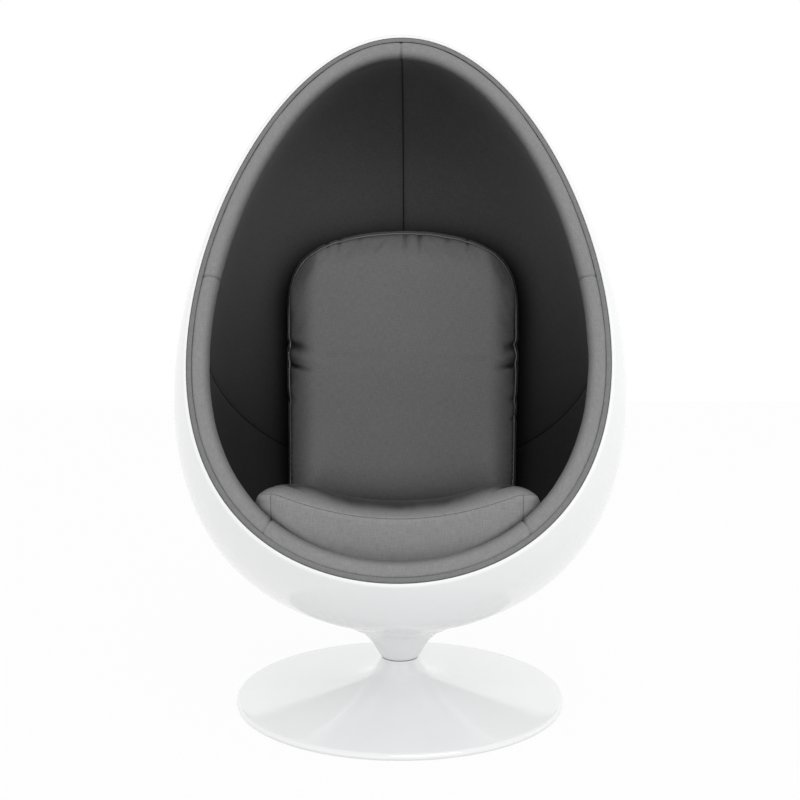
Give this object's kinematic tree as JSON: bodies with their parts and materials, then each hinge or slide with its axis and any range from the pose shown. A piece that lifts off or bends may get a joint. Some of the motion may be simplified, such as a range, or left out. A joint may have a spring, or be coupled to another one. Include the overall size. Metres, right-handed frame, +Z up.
{
  "type": "swivel pod chair",
  "caption": "Egg-shaped pod chair with a padded fabric lining, a loose seat cushion and back cushion, and a glossy shell that swivels on a low round trumpet base.",
  "frame": {"origin": "on the floor under the middle of the round base, on the swivel axis", "axes": "+Z up along the swivel axis, -Y the way the sitter faces at rest, +X to the right as seen from the front"},
  "size_m": [0.8498, 0.8085, 1.2991],
  "materials": {
    "gelcoat": "gloss",
    "upholstery": "woven",
    "foam": "matt",
    "plate_steel": "satin",
    "bearing_steel": "ground",
    "bolt_steel": "zinc plated",
    "cage_brass": "pressed",
    "bush_plastic": "matt",
    "mat_rubber": "matt"
  },
  "bodies": {
    "base": {"base_mat": "mat_rubber", "base_plate": "plate_steel", "column_tube": "plate_steel", "column_gussets": "plate_steel", "base_skin": "gelcoat", "skin_collar": "bush_plastic", "lower_bush": "bush_plastic", "upper_bush": "bush_plastic", "lower_race": "bearing_steel"},
    "cage": {"ball_cage": "cage_brass", "bearing_balls": "bearing_steel"},
    "seat": {"upper_race": "bearing_steel", "spindle": "bearing_steel", "wear_washer": "bearing_steel", "retaining_ring": "bearing_steel", "seat_plate": "plate_steel", "egg_shell": "gelcoat", "clamp_plate": "plate_steel", "bolt_washers": "bolt_steel", "seat_bolts": "bolt_steel", "foam_upper_left": "foam", "foam_upper_right": "foam", "foam_lower_left": "foam", "foam_lower_right": "foam", "lining_upper_left": "upholstery", "lining_upper_right": "upholstery", "lining_lower_left": "upholstery", "lining_lower_right": "upholstery", "rim_welt": "upholstery", "roll_upper_left": "upholstery", "roll_upper_right": "upholstery", "roll_side_left": "upholstery", "roll_side_right": "upholstery", "roll_front": "upholstery", "seat_base": "foam", "seat_cushion": "upholstery", "back_cushion": "upholstery"}
  },
  "joints": [
    {"name": "seat_swivel", "type": "hinge", "parent": "base", "child": "seat", "pos_m": [0, 0, 0.078], "axis": [0, 0, 1], "continuous": true},
    {"name": "cage_spin", "type": "hinge", "parent": "base", "child": "cage", "pos_m": [0, 0, 0.0702], "axis": [0, 0, 1], "continuous": true}
  ],
  "couplings": [
    {"joint": "cage_spin", "follows": "seat_swivel", "ratio": 0.5}
  ]
}
